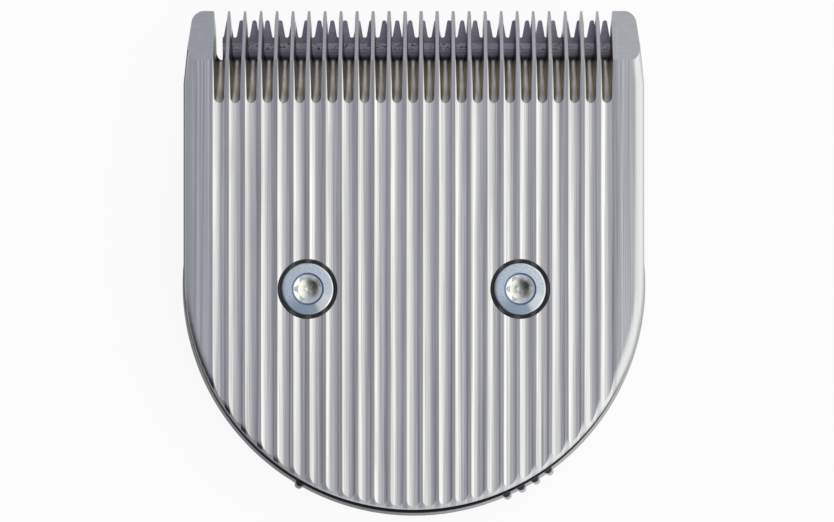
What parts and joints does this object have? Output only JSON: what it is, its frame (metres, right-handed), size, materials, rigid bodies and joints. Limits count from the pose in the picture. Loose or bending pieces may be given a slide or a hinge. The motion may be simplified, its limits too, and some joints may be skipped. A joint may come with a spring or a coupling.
{
  "type": "hair clipper blade",
  "caption": "D-shaped hair clipper blade set: a grooved steel comb over a sliding toothed cutter, screwed to a moulded clip-on base with a sprung drive yoke.",
  "frame": {"origin": "middle of the footprint, on the surface that the base lies on", "axes": "+X to the right across the teeth, +Y towards the tooth tips, +Z out of the comb's face"},
  "size_m": [0.047, 0.0511, 0.009],
  "materials": {
    "ground_steel": "ground, fine lines along the grooves",
    "dark_cutter_steel": "dark, finely ground",
    "driver_plastic": "moulded, satin",
    "spring_steel": "rolled strip",
    "base_plastic": "moulded, satin",
    "zinc_screw": "blue zinc plated",
    "insert_brass": "turned"
  },
  "bodies": {
    "blade_body": {"comb_blade": "ground_steel", "base_holder": "base_plastic", "pressure_spring": "spring_steel", "screw_left": "zinc_screw", "screw_right": "zinc_screw", "insert_left": "insert_brass", "insert_right": "insert_brass"},
    "cutter": {"cutter_blade": "dark_cutter_steel", "cutter_driver": "driver_plastic"}
  },
  "joints": [
    {"name": "cutter_slide", "type": "slide", "parent": "blade_body", "child": "cutter", "axis": [1, 0, 0], "range_m": [-0.00148, 0.00092]}
  ]
}
